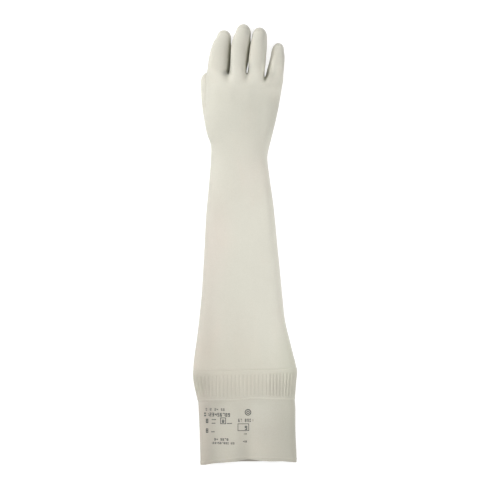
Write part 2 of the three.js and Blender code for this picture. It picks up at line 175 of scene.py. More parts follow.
# Long soft folds down the cuff end: where each lies across it, its half width, its rise at the hem and at the band.
CUFF_FOLDS = [
    (-58, 11, 1.3, 1.2),
    (-39, 11, -2.4, -2.4),
    (-13, 11, 2.6, 0.4),
    (7, 11, -2.8, 0.4),
    (34, 18, 2.6, 2.8),
]

# Broad soft unevenness of the sleeve and hand's back: x, y, half width, half length, rise.
SLEEVE_DENTS = [
    (6, 92, 22, 26, -1.3),
    (-22, 60, 14, 40, 0.6),
    (6, 2, 26, 44, 1.0),
    (-38, -30, 12, 60, -0.9),
    (30, 40, 7, 60, 0.7),
    (-44, -120, 12, 40, -1.4),
    (-20, -138, 16, 22, 0.8),
    (12, -120, 22, 30, -0.8),
    (44, -135, 12, 26, 0.7),
    (-30, 165, 14, 22, 0.6),
    (20, 168, 18, 20, -1.2),
    (-20, 203, 5, 16, 0.5),
    (3.5, 205, 5, 16, 0.5),
    (28, 200, 5, 14, 0.5),
]

RING = [150, 120, 90, 60, 30, 0, -30, -60, -90, -120, -150, 180]


# ------------------------------------------------------------------ small numeric helpers
def smooth(t):
    t = np.clip(t, 0, 1)
    return t * t * (3 - 2 * t)


def along(table, x):
    table = np.array(table, float)
    return np.interp(x, table[:, 0], table[:, 1])


def soft_along(table, x, reach=4.0):
    """The same line with its corners rounded."""
    return sum(w * along(table, x + d * reach) for d, w in ((-1, 0.15), (-0.5, 0.22), (0, 0.26), (0.5, 0.22), (1, 0.15)))


def pchip(xs, ys, x):
    """Shape-keeping cubic through the rows of ys at xs, read at x."""
    xs, ys = np.array(xs, float), np.array(ys, float)
    h = np.diff(xs)[:, None]
    d = np.diff(ys, axis=0) / h
    m = np.zeros_like(ys)
    a, b = d[:-1], d[1:]
    w1, w2 = 2 * h[1:] + h[:-1], h[1:] + 2 * h[:-1]
    same = a * b > 0
    safe = np.where(same, a * b, 1)
    m[1:-1] = np.where(same, (w1 + w2) * safe / np.where(same, w1 * b + w2 * a, 1), 0)
    m[0], m[-1] = d[0], d[-1]
    i = np.clip(np.searchsorted(xs, x, side="right") - 1, 0, len(xs) - 2)
    t = ((np.asarray(x) - xs[i]) / (xs[i + 1] - xs[i]))[:, None]
    hh = (xs[i + 1] - xs[i])[:, None]
    return (
        (2 * t**3 - 3 * t**2 + 1) * ys[i] + (t**3 - 2 * t**2 + t) * hh * m[i]
        + (-2 * t**3 + 3 * t**2) * ys[i + 1] + (t**3 - t**2) * hh * m[i + 1]
    )


def power(v, p):
    return math.copysign(abs(v) ** p, v)


def unit(v):
    return v / np.maximum(np.linalg.norm(v, axis=-1, keepdims=True), 1e-12)


# ------------------------------------------------------------------ the cage of the outer skin
rows_y = sorted(set(ARM[:, 0]) | set(EXTRA_ROWS))
ROWS = pchip(ARM[:, 0], ARM, np.array(rows_y))
row_of = {round(float(r[0]), 1): i for i, r in enumerate(ROWS)}


def even_angle(k):
    if k <= TOP:
        return 170 - 160 * k / TOP
    if k == TOP + 1:
        return 0
    if k <= 2 * TOP + 2:
        return -10 - 160 * (k - TOP - 2) / TOP
    return -180


def finger_angle(k, left, right, back, under):
    if k in (TOP + 1, AROUND - 1):
        return even_angle(k)
    low = k > TOP
    j = 2 * TOP + 2 - k if low else k
    edges = [-0.965] + [(w[0] - (left + right) / 2) / ((right - left) / 2) for w in WEBS] + [0.965]
    i = min(FINGERS - 1, j // SEGMENTS)
    f = edges[i] + (edges[i + 1] - edges[i]) * (j - i * SEGMENTS) / SEGMENTS
    angle = math.degrees(math.acos(power(f, (under if low else back) / 2)))
    return -angle if low else angle


def bumped(x, y, on):
    return sum(b[on] * math.exp(-(((x - b[0]) / b[2]) ** 2) - ((y - b[1]) / b[3]) ** 2) for b in BUMPS)


def arm_point(row, k):
    y, left, right, top, bottom, side, back, under, spread = ROWS[row]
    angle = math.radians(even_angle(k) * (1 - spread) + finger_angle(k, left, right, back, under) * spread)
    c, v = math.cos(angle), math.sin(angle)
    n = back if v >= 0 else under
    x = (left + right) / 2 + (right - left) / 2 * power(c, 2 / n)
    if v >= 0:
        z = side + (top - side) * power(v, 2 / n) + bumped(x, y, 4) * v
    else:
        z = side - (side - bottom) * (1 + (PRESS - 1) * max(0.0, 1 - bottom / 8)) * power(-v, 2 / n) + bumped(x, y, 5) * -v
        z = max(z, 0.0)
    return (x, y, z)


def frames(rows):
    out = []
    for i, r in enumerate(rows):
        a, b = np.array(rows[max(0, i - 1)][:3]), np.array(rows[min(len(rows) - 1, i + 1)][:3])
        ahead = unit(b - a)
        right = unit(np.cross(ahead, (0, 0, 1)))
        out.append((np.array(r[:3]), ahead, right, np.cross(right, ahead), r[3], r[4], r[5]))
    return out


def ring_point(f, degrees, share=1.0, ahead=0.0):
    middle, fore, right, up, wide, high, lean = f
    c, s = math.cos(math.radians(degrees)), math.sin(math.radians(degrees))
    c, s = power(c, 2 / SQUARE), power(s, 2 / SQUARE)
    return middle + right * (wide * share * c - lean * share * s) + up * high * share * s + fore * ahead


points, quads = [], []
TIPS = []  # middle of each finger's last section, the way it points, and the length of its rounded end


def add(p):
    points.append(np.array(p, float))
    return len(points) - 1


def tube(a, b, skip=lambda m: False):
    for m in range(len(a)):
        n = (m + 1) % len(a)
        if not skip(m):
            quads.append((a[m], a[n], b[n], b[m]))


def digit(root, rows, tip, ease=()):
    rows = [tuple(r) for r in rows]
    # further sections between the given ones, past the root
    given = np.array(rows[1:])
    s = np.concatenate([[0], np.cumsum(np.linalg.norm(np.diff(given[:, :3], axis=0), axis=1))])
    fine = np.sort(np.concatenate([s, (s[1:] + s[:-1]) / 2]))
    rows = [rows[0]] + [tuple(r) for r in pchip(s, given, fine)]
    made = frames(rows)
    last, ring = made[-1], root
    if ease:  # rings between the palm and the first section, bending into the way the finger runs
        start = np.array([points[i] for i in root])
        end, past = (np.array([ring_point(f, a) for a in RING]) for f in made[1:3])
        chord = end - start
        leave = unit(past - end) * np.linalg.norm(chord, axis=1, keepdims=True)
        for t in ease:
            bent = start + chord * t * t * (3 - 2 * t) + chord * t * (1 - t) ** 2 - leave * t * t * (1 - t)
            new = [add(p) for p in bent]
            tube(ring, new)
            ring = new
    for f in made[1:]:
        new = [add(ring_point(f, a)) for a in RING]
        tube(ring, new)
        ring = new
    for tilt in (20, 40, 60, 75):
        share = math.cos(math.radians(tilt))
        new = [add(ring_point(last, a, share, tip * math.sin(math.radians(tilt)))) for a in RING]
        tube(ring, new)
        ring = new
    middle, fore, right, up, wide, high, lean = last
    cap = [add(middle + right * wide * u + fore * tip * (0.993 if u else 1.0)) for u in (-0.12, 0, 0.12)]
    TIPS.append((middle, fore, tip))
    t0, t1, t2, t3, t4, r, b4, b3, b2, b1, b0, l = ring
    c1, c2, c3 = cap
    quads.extend([(t0, t1, c1, l), (t1, t2, c2, c1), (t2, t3, c3, c2), (t3, t4, r, c3)])
    quads.extend([(b4, b3, c3, r), (b3, b2, c2, c3), (b2, b1, c1, c2), (b1, b0, l, c1)])


arm_rings = [[add(arm_point(row, k)) for k in range(AROUND)] for row in range(len(ROWS))]
thumb_rows = (row_of[THUMB_FROM], row_of[THUMB_MIDDLE], row_of[THUMB_TO])
for r in range(len(arm_rings) - 1):
    by_thumb = thumb_rows[0] <= r < thumb_rows[2]
    tube(arm_rings[r], arm_rings[r + 1], lambda k: by_thumb and THUMB_COLUMN <= k < THUMB_COLUMN + 4)

names = list(DIGITS)
root_frames = [frames(DIGITS[n][1])[0] for n in names[:FINGERS]]
web_middles = [add((w[0], w[1] + 1.5, w[2] - 1)) for w in WEBS]
root_ring = [None] * AROUND
for j in range(TOP + 1):
    for low in (False, True):
        k = 2 * TOP + 2 - j if low else j
        i = min(FINGERS - 1, j // SEGMENTS)
        if j % SEGMENTS == 0 and 0 < j < TOP:
            w = WEBS[j // SEGMENTS - 1]
            p = (w[0], w[1] - 1.5, w[2] + w[3] * (-1 if low else 1))
        else:
            a = 150 - 30 * (j - i * SEGMENTS)
            p = ring_point(root_frames[i], -a if low else a)
        root_ring[k] = add(p)
root_ring[TOP + 1] = add(ring_point(root_frames[-1], 0))
root_ring[AROUND - 1] = add(ring_point(root_frames[0], 180))
tube(arm_rings[-1], root_ring)
for i, name in enumerate(names[:FINGERS]):
    js = list(range(i * SEGMENTS, (i + 1) * SEGMENTS + 1))
    root = [root_ring[j] for j in js]
    root.append(root_ring[TOP + 1] if i == FINGERS - 1 else web_middles[i])
    root += [root_ring[2 * TOP + 2 - j] for j in reversed(js)]
    root.append(root_ring[AROUND - 1] if i == 0 else web_middles[i - 1])
    digit(root, DIGITS[name][1], DIGITS[name][0])

a, m, b = (arm_rings[r] for r in thumb_rows)
c = THUMB_COLUMN
hole = [a[c], a[c + 1], a[c + 2], a[c + 3], a[c + 4], m[c + 4], b[c + 4], b[c + 3], b[c + 2], b[c + 1], b[c], m[c]]
THUMB_FORK = points[b[c]]
first = DIGITS["thumb"][1][0]
before = (first[0] + 3, first[1] - 14, first[2] + 3) + tuple(first[3:])
digit(hole[5:] + hole[:5], [before] + DIGITS["thumb"][1], DIGITS["thumb"][0], (0.42, 0.74))

design = np.array(points)
cage_quads = np.array(quads)


# ------------------------------------------------------------------ subdivision
def edges_of(Q):
    E = np.sort(np.stack([Q, np.roll(Q, -1, 1)], 2).reshape(-1, 2), 1)
    uniq, inv, cnt = np.unique(E, axis=0, return_inverse=True, return_counts=True)
    return uniq, inv.reshape(-1), cnt


def limit(V, Q, pre):
    """Where the smooth surface passes for each vertex."""
    uniq, cnt = pre
    n = len(V)
    inner_e = uniq
    val = np.bincount(inner_e.reshape(-1), minlength=n).astype(float)
    se, sf = np.zeros((n, 3)), np.zeros((n, 3))
    for d in range(3):
        se[:, d] = np.bincount(uniq[:, 0], V[uniq[:, 1], d], n) + np.bincount(uniq[:, 1], V[uniq[:, 0], d], n)
        sf[:, d] = sum(np.bincount(Q[:, i], V[Q[:, (i + 2) % 4], d], n) for i in range(4))
    L = (val[:, None] ** 2 * V + 4 * se + sf) / np.maximum(val * (val + 5), 1)[:, None]
    rim = uniq[cnt == 1]
    edge = np.unique(rim)
    if len(edge):
        near = np.zeros((n, 3))
        for d in range(3):
            near[:, d] = np.bincount(rim[:, 0], V[rim[:, 1], d], n) + np.bincount(rim[:, 1], V[rim[:, 0], d], n)
        L[edge] = (4 * V[edge] + near[edge]) / 6
    return L


def subdivide(V, Q):
    n = len(V)
    F = V[Q].mean(1)
    uniq, inv, cnt = edges_of(Q)
    owners = np.repeat(np.arange(len(Q)), 4)
    fsum = np.stack([np.bincount(inv, F[owners, d], len(uniq)) for d in range(3)], 1)
    mid = V[uniq].mean(1)
    E = (V[uniq].sum(1) + fsum) / 4
    open_edge = cnt == 1
    E[open_edge] = mid[open_edge]
    val = np.maximum(np.bincount(uniq.reshape(-1), minlength=n), 1).astype(float)[:, None]
    facecount = np.maximum(np.bincount(Q.reshape(-1), minlength=n), 1).astype(float)[:, None]
    fav = np.stack([np.bincount(Q.reshape(-1), F[owners, d], n) for d in range(3)], 1) / facecount
    eav = np.stack([np.bincount(uniq[:, 0], mid[:, d], n) + np.bincount(uniq[:, 1], mid[:, d], n) for d in range(3)], 1) / val
    N = (fav + 2 * eav + (val - 3) * V) / val
    rim = uniq[open_edge]
    edge = np.unique(rim)
    if len(edge):
        near = np.stack([np.bincount(rim[:, 0], V[rim[:, 1], d], n) + np.bincount(rim[:, 1], V[rim[:, 0], d], n) for d in range(3)], 1)
        N[edge] = (6 * V[edge] + near[edge]) / 8
    e = n + inv.reshape(-1, 4)
    f = n + len(uniq) + np.arange(len(Q))
    new = np.stack([np.stack([Q[:, k], e[:, k], f, e[:, (k - 1) % 4]], 1) for k in range(4)], 1).reshape(-1, 4)
    return np.vstack([N, E, F]), new


control = design.copy()
pre = edges_of(cage_quads)
pre = (pre[0], pre[2])
for _ in range(14):
    control += design - limit(control, cage_quads, pre)

# ------------------------------------------------------------------ the arm as one smooth surface over (around, along)
ARM_NET = control[: len(ROWS) * AROUND].reshape(len(ROWS), AROUND, 3)
ARM_NET = np.concatenate([2 * ARM_NET[:1] - ARM_NET[1:2], ARM_NET])  # one more row past the hem


def basis(t):
    return np.stack([(1 - t) ** 3 / 6, (3 * t**3 - 6 * t**2 + 4) / 6, (-3 * t**3 + 3 * t**2 + 3 * t + 1) / 6, t**3 / 6], -1)


def basis_slope(t):
    return np.stack([-((1 - t) ** 2) / 2, (3 * t**2 - 4 * t) / 2, (-3 * t**2 + 2 * t + 1) / 2, t**2 / 2], -1)


def arm_surface(u, t):
    """Points and outward normals of the arm for u around (0 to AROUND) and t along, in rows."""
    u, t = np.broadcast_arrays(np.asarray(u, float), np.asarray(t, float))
    i, j = np.floor(u).astype(int), np.minimum(np.floor(t).astype(int), len(ROWS) - 3)
    bu, bt, du, dt = basis(u - i), basis(t - j), basis_slope(u - i), basis_slope(t - j)
    P, U, T = (np.zeros(u.shape + (3,)) for _ in range(3))
    for a in range(4):
        for b in range(4):
            c = ARM_NET[j + b, (i + a - 1) % AROUND]
            P += (bu[..., a] * bt[..., b])[..., None] * c
            U += (du[..., a] * bt[..., b])[..., None] * c
            T += (bu[..., a] * dt[..., b])[..., None] * c
    N = unit(np.cross(U, T))
    return P, N


_t = np.linspace(0, len(ROWS) - 3, 3000)
_y = arm_surface(np.full_like(_t, 8.0), _t)[0][:, 1]


def row_at(y):
    return np.interp(y, _y, _t)


JOIN_ROW = row_of[96]  # above this the hand's subdivided skin takes over


def noise(p, size, seed):
    """Smooth value noise, about -1 to 1, at points p (mm)."""
    rng = np.random.RandomState(seed)
    q = p / size
    i = np.floor(q).astype(int)
    f = q - i
    f = f * f * f * (f * (f * 6 - 15) + 10)
    table = rng.rand(4096) * 2 - 1
    out = np.zeros(len(p))
    for dx in (0, 1):
        for dy in (0, 1):
            for dz in (0, 1):
                h = ((i[:, 0] + dx) * 73856093) ^ ((i[:, 1] + dy) * 19349663) ^ ((i[:, 2] + dz) * 83492791)
                w = (f[:, 0] if dx else 1 - f[:, 0]) * (f[:, 1] if dy else 1 - f[:, 1]) * (f[:, 2] if dz else 1 - f[:, 2])
                out += w * table[h & 4095]
    return out


def relief(P, N, v):
    """How far the skin stands off its smooth form, mm, at points P whose length coordinate is v."""
    x, y = P[:, 0], P[:, 1]
    up = smooth((N[:, 2] - 0.05) / 0.5)
    d = np.zeros(len(P))
    for cx, cy, wx, wy, rise in SLEEVE_DENTS:
        d += up * rise * np.exp(-(((x - cx) / wx) ** 2) - ((y - cy) / wy) ** 2)
    t = np.clip((v - BEAD_AT) / (HEM_AT - BEAD_AT), 0, 1)
    for cx, wide, at_hem, at_band in CUFF_FOLDS:
        d += up * smooth((BEAD_AT - v) / 10) * (at_hem * t + at_band * (1 - t)) * np.exp(-(((x - cx) / wide) ** 2))
    d += 0.42 * np.exp(-(((v - (HEM_AT + 4.2)) / 0.9) ** 2))
    away = smooth((P[:, 2] - 0.5) / 4)  # none of it where the skin rests on the floor
    d += away * (0.28 * noise(P * (1, 0.45, 1), 17.0, 5) + 0.12 * noise(P * (1, 0.6, 1), 7.5, 9))
    return d


def lines_shift(P, v):
    """How far the lines across the cuff run above or below straight ones."""
    x = P[:, 0]
    mid = np.interp(v, ROWS[:, 0], (ROWS[:, 3] + ROWS[:, 4]) / 2)
    back = smooth((P[:, 2] - mid * 0.55) / (mid * 0.5))
    hem = soft_along(HEM_BACK, x, 3) * back + soft_along(HEM_UNDER, x, 3) * (1 - back) - HEM_AT
    bead = soft_along(BEAD_LINE, x, 3) - BEAD_AT
    top = soft_along(TOP_LINE, x, 6) - LINE_AT
    s = np.where(v < BEAD_AT, bead + (hem - bead) * smooth((BEAD_AT - v) / (BEAD_AT - HEM_AT)), 0)
    s = np.where((v >= BEAD_AT) & (v < LINE_AT), bead + (top - bead) * smooth((v - BEAD_AT) / (LINE_AT - BEAD_AT)), s)
    return np.where(v >= LINE_AT, top * (1 - smooth((v - LINE_AT) / (FREE_AT - LINE_AT))), s)


# ------------------------------------------------------------------ ribs
_u = np.linspace(0, AROUND, 4001)
_ring = arm_surface(_u, np.full_like(_u, row_at(-190)))[0]
_s = np.concatenate([[0], np.cumsum(np.linalg.norm(np.diff(_ring, axis=0), axis=1))])
_mx, _mz = (_ring[1:, 0] + _ring[:-1, 0]) / 2, (_ring[1:, 2] + _ring[:-1, 2]) / 2
_pitch = 4.9 + 0.4 * smooth((_mx + 45) / 20) - 0.9 * smooth((_mx - 25) / 16)
_pitch = np.where(_mz > 17, _pitch, 4.8)
_phase = np.concatenate([[0], np.cumsum(np.diff(_s) / _pitch)])
RIBS = int(round(_phase[-1]))
_phase *= RIBS / _phase[-1]
rib_u = np.interp(np.arange(RIBS * RIB_COLUMNS) / RIB_COLUMNS, _phase, _u)
rib_f = (np.arange(RIBS * RIB_COLUMNS) % RIB_COLUMNS) / RIB_COLUMNS
rib_x = np.interp(rib_u, _u, _ring[:, 0])
_back = _u <= TOP


def upright(v):
    """Where the ribs run at length coordinate v: straight up the back, and along the skin at its sides."""
    there = arm_surface(_u[_back], np.full(_back.sum(), row_at(v)))[0][:, 0]
    straight = np.interp(rib_x, there, _u[_back])
    bend = smooth((np.abs(rib_x) - 42) / 18)
    return np.where(rib_u < TOP, straight * (1 - bend) + rib_u * bend, rib_u)


def band_rise(v):
    """The band stands a little off the skin around it."""
    return 0.30 * smooth((v - (BEAD_AT - 0.4)) / 1.6) * (1 - smooth((v - (LINE_AT - 0.1)) / 0.5))


def band_relief(P, v, f):
    """The band's own relief: ribs, the smooth strip above them, the fine line over that, and the raised line below."""
    x = P[:, 0]
    d = band_rise(v)
    strength = 0.44 + 0.50 * smooth((x - 26) / 14) + 0.24 * smooth((-x - 22) / 14)
    lower = RIBS_FROM + 1.2 * smooth((-x - 20) / 30)
    ends = smooth((v - lower) / 2.0) * (1 - smooth((v - (RIBS_TO - 2.0)) / 2.4))
    wave = 1 - np.abs(np.sin(math.pi * f)) ** 0.8
    d -= ends * strength * wave * 1.1
    d += (0.55 - 0.25 * wave * smooth((x - 5) / 20)) * np.exp(-(((v - BEAD_AT) / 0.8) ** 2))
    d -= 0.55 * np.exp(-(((v - LINE_AT) / 0.42) ** 2)) * (0.15 + 0.85 * smooth((x + 56) / 10)) * (0.3 + 0.7 * smooth((64 - x) / 10))
    return d


# ------------------------------------------------------------------ building the mesh
V_all, F_all, count = [], [], 0


def put(P):
    global count
    V_all.append(P)
    ids = np.arange(count, count + len(P))
    count += len(P)
    return ids


def face(a, b, c, d=None):
    F_all.append((int(a), int(b), int(c)) if d is None else (int(a), int(b), int(c), int(d)))


def strip(low, high, flip=False):
    """Quads between two closed rings of the same count."""
    n = len(low)
    for m in range(n):
        k = (m + 1) % n
        q = (low[m], low[k], high[k], high[m])
        face(*(q[::-1] if flip else q))


def zip_rings(low, ulow, high, uhigh, flip=False):
    """Triangles between two closed rings whose points lie at ulow and uhigh around."""
    i = j = 0
    nl, nh = len(low), len(high)
    ul, uh = np.append(ulow, AROUND), np.append(uhigh, AROUND)
    while i < nl or j < nh:
        if j >= nh or (i < nl and ul[i + 1] <= uh[j + 1]):
            t = (low[i % nl], low[(i + 1) % nl], high[j % nh])
            i += 1
        else:
            t = (low[i % nl], high[(j + 1) % nh], high[j % nh])
            j += 1
        face(*(t[::-1] if flip else t))


def arm_ring(u, v, f=None, inward=0.0):
    """One ring of the arm's skin at length coordinate v."""
    v = np.full(len(u), float(v))
    P, N = arm_surface(u, row_at(v))
    base = P.copy()
    away = smooth((base[:, 2] - 0.3) / 3)
    base[:, 2] = np.maximum(base[:, 2], 0)
    d = relief(base, N, v) * away
    if f is not None or (BEAD_AT - 4 < v[0] < LINE_AT + 3):
        d = d + band_relief(base, v, 0.5 if f is None else f) - band_rise(v) * (1 - away)  # no rise where the floor is
    P = base + N * (d - inward)[:, None]
    P[:, 1] += lines_shift(base, v)
    P[:, 2] = np.maximum(P[:, 2], inward)
    return P


u_fine = np.arange(AROUND * 4) / 4
u_cuff = np.arange(AROUND * 6) / 6
cuff_v = list(np.linspace(HEM_AT, HEM_AT + 8, 9)) + list(np.arange(HEM_AT + 10.2, BEAD_AT - 3.4, 2.25)) + [-213.0, -211.9]
band_v = [-211.0, -210.4, -209.9, -209.3, -208.7, -208.2, -207.6, -206.8, -205.9, -205.0, -204.2] + list(np.arange(-202.4, -179.0, 1.95)) \
    + [-178.0, -177.1, -176.3, -175.6, -174.6, -173.2, -171.8, -170.7, -170.2, -169.85, -169.5, -169.15, -168.8, -168.2]
sleeve_v = [-167.2, -165.6, -163.5, -161] + list(np.linspace(-158, 96, 86))[:-1]

rings = [(put(arm_ring(u_cuff, v)), u_cuff) for v in cuff_v]
rings += [(put(arm_ring(u, v, rib_f)), u) for v, u in ((v, upright(v)) for v in band_v)]
rings += [(put(arm_ring(u_fine, v)), u_fine) for v in sleeve_v]
for (lo, ul), (hi, uh) in zip(rings, rings[1:]):
    if len(lo) == len(hi):
        strip(lo, hi)
    else:
        zip_rings(lo, ul, hi, uh)

# the hand's own skin
sub_V, sub_Q = control, cage_quads
from_row = np.full(len(design), 10**6)
for r, ring in enumerate(arm_rings):
    from_row[ring] = r
keep = from_row[cage_quads].min(1) >= JOIN_ROW
first_ring = list(arm_rings[JOIN_ROW])
levels = []
for level in range(2):
    sub_V, sub_Q = subdivide(sub_V, sub_Q)
    keep = np.repeat(keep, 4)
    # the join ring gains its edge midpoints
    uniq, _, _ = edges_of(levels[-1][1] if levels else cage_quads)
    old_n = len(levels[-1][0]) if levels else len(control)
    at = {tuple(e): old_n + i for i, e in enumerate(uniq)}
    grown = []
    for m, p in enumerate(first_ring):
        q = first_ring[(m + 1) % len(first_ring)]
        grown += [p, at[(min(p, q), max(p, q))]]
    first_ring = grown
    levels.append((sub_V, sub_Q, keep, first_ring))


def normals_of(V, Q):
    A = V[Q]
    n = np.cross(A[:, 2] - A[:, 0], A[:, 3] - A[:, 1])
    out = np.zeros_like(V)
    for d in range(3):
        out[:, d] = np.bincount(Q.reshape(-1), np.repeat(n[:, d], 4), len(V))
    return unit(out)


def soften(L, uniq, middle, reach, turns):
    """Rounds the skin off around one place."""
    w = smooth(1.5 * (1 - np.linalg.norm((L - middle) / reach, axis=1)))[:, None]
    deg = np.maximum(np.bincount(uniq.reshape(-1), minlength=len(L)), 1)[:, None]
    for _ in range(turns):
        near = np.stack([np.bincount(uniq[:, 0], L[uniq[:, 1], d], len(L)) + np.bincount(uniq[:, 1], L[uniq[:, 0], d], len(L)) for d in range(3)], 1)
        L = L + (near / deg - L) * w * 0.6
    return L


def hand_skin(level, inward):
    V, Q, keep, ring = levels[level]
    uniq, _, cnt = edges_of(Q)
    L = limit(V, Q, (uniq, cnt))
    L = soften(L, uniq, THUMB_FORK, (15, 18, 13), 6 * 4**level)
    N = normals_of(L, Q)
    if (N[:, 2] * (L[:, 2] - 30)).sum() < 0:
        N = -N
    away = smooth((L[:, 2] - 0.3) / 3)
    P = L + N * (relief(L, N, L[:, 1]) * away - inward)[:, None]
    P[:, 2] = np.maximum(P[:, 2], inward)
    Q = Q[keep]
    used = np.unique(Q)
    back = np.full(len(V), -1)
    back[used] = np.arange(len(used))
    return P[used], back[Q], [int(back[i]) for i in ring], L[used], N[used]


P, Q, ring, hand_L, hand_N = hand_skin(1, 0.0)
ids = put(P)
hand_first, hand_count = ids[0], len(ids)
for q in ids[Q]:
    face(q[0], q[1], q[2], q[3])
join = ids[ring]
lo, ul = rings[-1]
strip(lo, join)
outer_faces = len(F_all)

# the inner face, coarser, one wall further in
u_in = np.arange(AROUND * 2) / 2


def wall_at(v):
    return WALL + 0.2 * smooth((-284 - v) / 10) + 0.5 * smooth((v + 212) / 3) * (1 - smooth((v + 170) / 3))


inner_v = [HEM_AT, HEM_AT + 2.5, HEM_AT + 7] + list(np.linspace(HEM_AT + 14, -216, 10)) + list(np.linspace(-208, -166, 8)) + list(np.linspace(-158, 96, 34))[:-1]
inner_rings = []
for n, v in enumerate(inner_v):
    u = u_cuff if n < 2 else u_in
    inner_rings.append((put(arm_ring(u, v, inward=float(wall_at(v)))), u))
for (lo, ul), (hi, uh) in zip(inner_rings, inner_rings[1:]):
    if len(lo) == len(hi):
        strip(lo, hi, True)
    else:
        zip_rings(lo, ul, hi, uh, True)
P, Q, ring, _, _ = hand_skin(0, WALL)
ids_in = put(P)
for q in ids_in[Q]:
    face(q[3], q[2], q[1], q[0])
strip(inner_rings[-1][0], ids_in[ring], True)

# the cut edge of the cuff's mouth, slightly rounded
allV = np.vstack(V_all)
outer_edge, inner_edge = rings[0][0], inner_rings[0][0]
O, I = allV[outer_edge], allV[inner_edge]
previous = outer_edge
for share, out in ((0.12, 0.30), (0.5, 0.52), (0.88, 0.30)):
    R = O * (1 - share) + I * share
    R[:, 1] -= out
    R[:, 2] = np.maximum(R[:, 2], 0)
    new = put(R)
    strip(previous, new, True)
    previous = new
strip(previous, inner_edge, True)

V = np.vstack(V_all)
mesh = bpy.data.meshes.new("glove_skin")
mesh.from_pydata((V * MM).tolist(), [], F_all)
mesh.update()
mesh.validate()
for p in mesh.polygons:
    p.use_smooth = True

# ------------------------------------------------------------------ colour of the skin, with painted shade and painted light, as a formula of place
# The colour runs darker towards the cuff's end and a little darker over the back of the hand.
TONES = [  # y, red, green, blue of the latex as it looks on screen
    (-300, 166, 162, 151),
    (-285, 168, 165, 154),
    (-212, 168, 165, 154),
    (-190, 173, 169, 157),
    (-165, 180, 177, 165),
    (-120, 184, 181, 170),
    (-60, 189, 187, 176),
    (20, 191, 189, 178),
    (100, 189, 187, 176),
    (150, 184, 182, 171),
    (200, 182, 180, 169),
    (235, 186, 184, 173),
    (300, 188, 186, 175),
]
# Many of these patches are painted shade and painted light: the strong dark and light ones in the forks and on the
# fingers' flanks, and broad lighter and darker ones along the sides of the hand, sleeve and cuff. The faint coloured
# ones are the latex's own uneven tone.
TINTS_AND_PAINTED_LIGHT = [  # soft patches: x, y, half width, half length, share of red, green and blue
    (-47, -10, 20, 75, 0.008, -0.010, -0.004),
    (-30, 20, 14, 40, 0.008, -0.003, -0.002),
    (-60, -150, 26, 50, -0.030, -0.042, -0.042),
    (34, -130, 30, 50, 0.008, 0.016, 0.016),
    (-58, -250, 12, 70, 0.006, -0.012, -0.010),
    (-52, -240, 18, 40, -0.035, -0.035, -0.035),
    (24, -222, 20, 14, -0.002, 0.002, 0.004),
    (24, -252, 15, 17, -0.032, -0.032, -0.030),
    (-66, -192, 12, 14, -0.030, -0.015, -0.025),
    (-56, -186, 11, 15, -0.070, -0.062, -0.064),
    (44, -191, 16, 11, -0.022, -0.022, -0.022),
    (-22, 168, 34, 30, -0.002, 0.0, 0.0),
    (24, 172, 26, 40, -0.028, -0.026, -0.026),
    (45, 240, 12, 36, -0.052, -0.052, -0.052),
    (-25.6, 231.6, 4.5, 3.6, -0.21, -0.21, -0.20),
    (0.5, 237, 1.8, 5, 0.30, 0.30, 0.30),
    (-5, 242, 7, 13, 0.034, 0.034, 0.036),
    (6.5, 240, 3.0, 13, -0.055, -0.055, -0.055),
    (-20, 241, 2.4, 14, -0.085, -0.085, -0.085),
    (-31, 241, 7, 15, 0.036, 0.036, 0.036),
    (3.8, 237, 2.0, 6, -0.44, -0.44, -0.43),
    (42, 206, 10, 9, 0.055, 0.055, 0.055),
    (25, 233, 4, 11, 0.22, 0.22, 0.22),
    (34.5, 231, 5, 7, -0.080, -0.080, -0.080),
    (48, 226, 7, 18, 0.075, 0.075, 0.075),
    (35.6, 254, 3.0, 15, 0.110, 0.110, 0.110),
    (37.6, 265, 2.4, 7, 0.100, 0.100, 0.100),
    (31.8, 238, 2.6, 6, 0.110, 0.110, 0.110),
    (43.5, 206, 6, 26, 0.028, 0.028, 0.028),
    (41.5, 250, 4.5, 22, -0.030, -0.030, -0.030),
    (51, 260, 3, 12, -0.045, -0.045, -0.045),
    (3.5, 290, 4, 9, -0.075, -0.075, -0.075),
    (25.0, 286, 4, 14, -0.065, -0.065, -0.065),
    (-51, 228, 6, 32, -0.034, -0.034, -0.034),
    (-53, 229, 1.8, 8, -0.070, -0.070, -0.070),
    (-14, 236, 6, 40, -0.030, -0.030, -0.030),
    (10, 236, 6, 34, -0.040, -0.040, -0.040),
    (30, 226, 6, 12, -0.040, -0.040, -0.040),
    (-60, 228, 8, 60, -0.014, -0.014, -0.014),
    (36, 130, 14, 30, 0.045, 0.045, 0.045),
    (-54, -80, 14, 50, -0.026, -0.030, -0.030),
    (-50, -222, 16, 14, -0.028, -0.028, -0.028),
    (-54, -284, 20, 22, -0.034, -0.034, -0.034),
    (62, -222, 12, 20, 0.03, 0.03, 0.03),
    (-68, -177, 5, 9, -0.040, -0.040, -0.040),
    (46, 90, 18, 70, 0.032, 0.034, 0.034),
    (48, 0, 18, 80, 0.028, 0.028, 0.030),
    (50, -100, 20, 50, 0.024, 0.022, 0.024),
    (-35, 150, 16, 30, -0.020, -0.020, -0.020),
    (12, 95, 26, 34, -0.010, -0.020, -0.018),
    (60, -150, 12, 50, 0.012, 0.022, 0.014),
    (60, -240, 16, 60, -0.015, -0.008, -0.012),
    (10, -240, 24, 26, 0.016, 0.018, 0.018),
    (-8, -20, 34, 60, 0.010, 0.012, 0.012),
]


